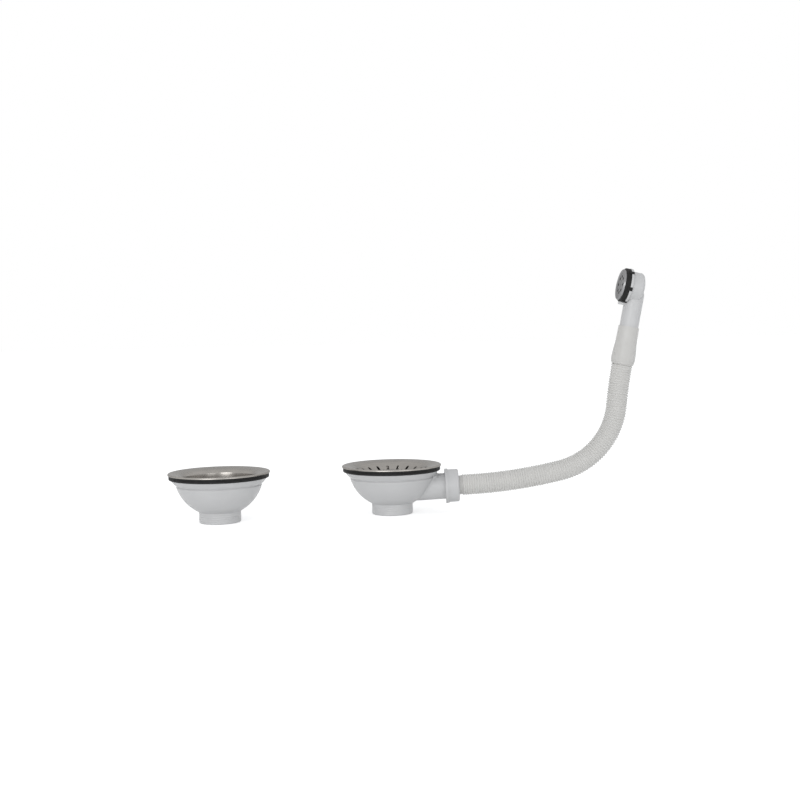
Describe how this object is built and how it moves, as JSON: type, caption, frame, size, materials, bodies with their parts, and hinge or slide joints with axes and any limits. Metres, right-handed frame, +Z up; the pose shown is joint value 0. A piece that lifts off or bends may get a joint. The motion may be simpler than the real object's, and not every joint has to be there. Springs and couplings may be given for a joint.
{
  "type": "double sink basket waste",
  "caption": "Set of basket wastes for a double sink: one plain, one with a side port, a corrugated overflow hose and a round rosette.",
  "frame": {"origin": "middle of the end face of the overflow waste's outlet", "axes": "+Z up, +X along the side port towards the overflow hose, +Y towards the back"},
  "size_m": [0.5482, 0.152, 0.2775],
  "materials": {
    "steel": "brushed stainless steel",
    "basket_steel": "satin stainless steel",
    "spring_steel": "spring steel",
    "white_plastic": "moulded, satin",
    "hose_plastic": "blow-moulded, soft sheen",
    "rubber": "smooth black rubber",
    "brass": "turned"
  },
  "bodies": {
    "root": {"plain_strainer_dish": "steel", "plain_top_seal": "rubber", "plain_lower_gasket": "rubber", "plain_waste_body": "white_plastic", "plain_clamp_screw": "steel", "plain_screw_insert": "brass", "plain_stem_clip": "spring_steel", "overflow_strainer_dish": "steel", "overflow_top_seal": "rubber", "overflow_lower_gasket": "rubber", "overflow_waste_body": "white_plastic", "overflow_clamp_screw": "steel", "overflow_screw_insert": "brass", "overflow_stem_clip": "spring_steel", "coupling_nut": "white_plastic", "cone_seal": "rubber", "hose_tail": "hose_plastic", "overflow_hose": "hose_plastic", "hose_cuff": "hose_plastic", "overflow_head": "white_plastic", "overflow_gasket": "rubber", "overflow_rosette": "steel", "rosette_screw": "steel", "rosette_insert": "brass"},
    "plain_basket": {"plain_basket_cup": "basket_steel", "plain_basket_knob": "basket_steel", "plain_basket_stem": "steel", "plain_plug_seal": "rubber", "plain_seal_washer": "steel"},
    "overflow_basket": {"overflow_basket_cup": "basket_steel", "overflow_basket_knob": "basket_steel", "overflow_basket_stem": "steel", "overflow_plug_seal": "rubber", "overflow_seal_washer": "steel"}
  },
  "joints": [
    {"name": "plain_basket_lift", "type": "slide", "parent": "root", "child": "plain_basket", "axis": [0, 0, 1], "range_m": [0, 0.008]},
    {"name": "overflow_basket_lift", "type": "slide", "parent": "root", "child": "overflow_basket", "axis": [0, 0, 1], "range_m": [-0.008, 0]}
  ]
}
